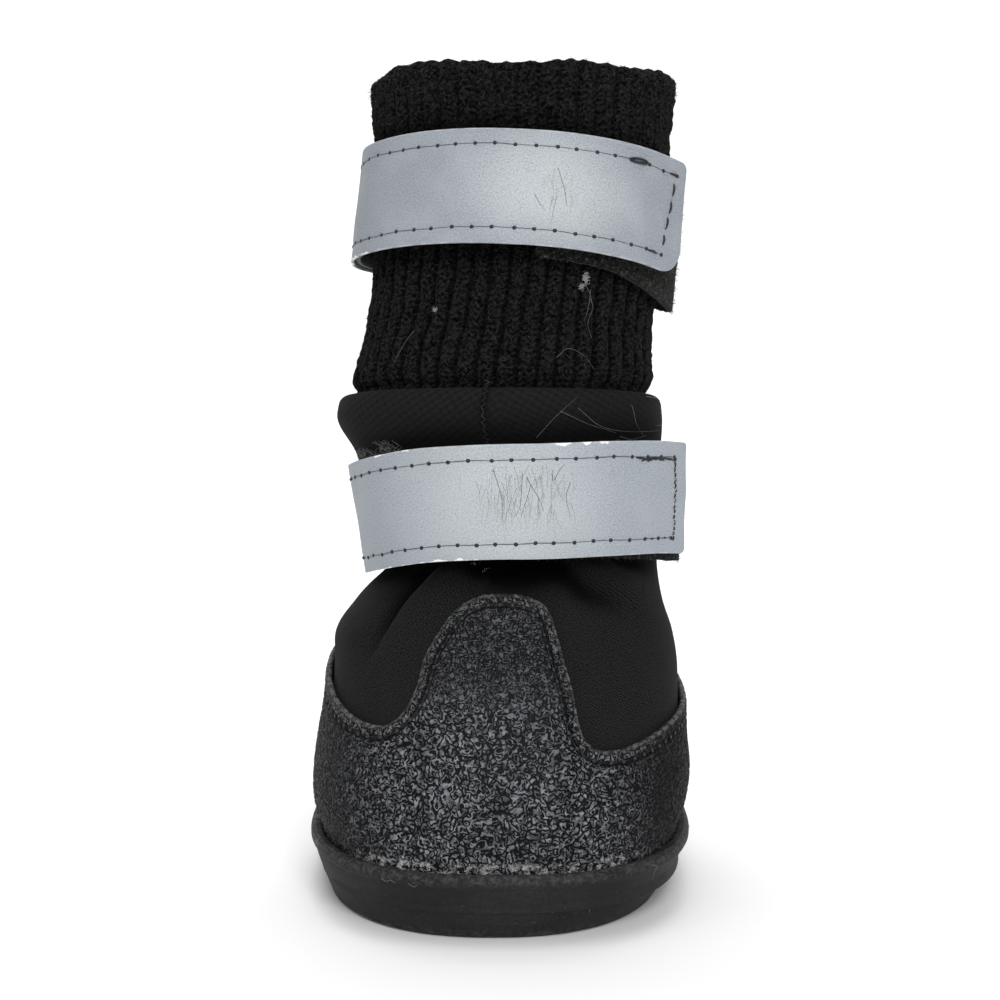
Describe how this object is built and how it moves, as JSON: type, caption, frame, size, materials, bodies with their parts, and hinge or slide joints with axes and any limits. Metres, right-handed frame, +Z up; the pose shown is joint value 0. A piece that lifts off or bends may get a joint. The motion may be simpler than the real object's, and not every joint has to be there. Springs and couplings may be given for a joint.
{
  "type": "dog boot",
  "caption": "Dog boot with a moulded rubber cup sole, fabric upper, rubberised toe cap, rib-knit cuff and reflective hook-and-loop straps.",
  "frame": {"origin": "on the floor, under the middle of the sole", "axes": "+Z up the shaft, the toe points to -Y, +X is the side where the straps end"},
  "size_m": [0.0686, 0.082, 0.1469],
  "materials": {
    "sole_rubber": "matt moulded rubber, charcoal black, dusty at its lip",
    "foam": "foam board faced with black cloth",
    "softshell": "black woven stretch fabric bonded to a soft lining",
    "textured_rubber": "black rubber coating with a raised grain that has worn grey",
    "rib_knit": "black rib knit, slightly fuzzy",
    "reflective_tape": "silver grey reflective coating on tape, stitched in black, scratched",
    "loop_tape": "black loop pile"
  },
  "bodies": {
    "root": {"outsole": "sole_rubber", "insole": "foam", "upper": "softshell", "rand_toe_cap": "textured_rubber", "knit_cuff": "rib_knit", "ankle_strap": "reflective_tape", "cuff_strap": "reflective_tape", "ankle_loop_tape": "loop_tape", "cuff_loop_tape": "loop_tape"}
  },
  "joints": []
}
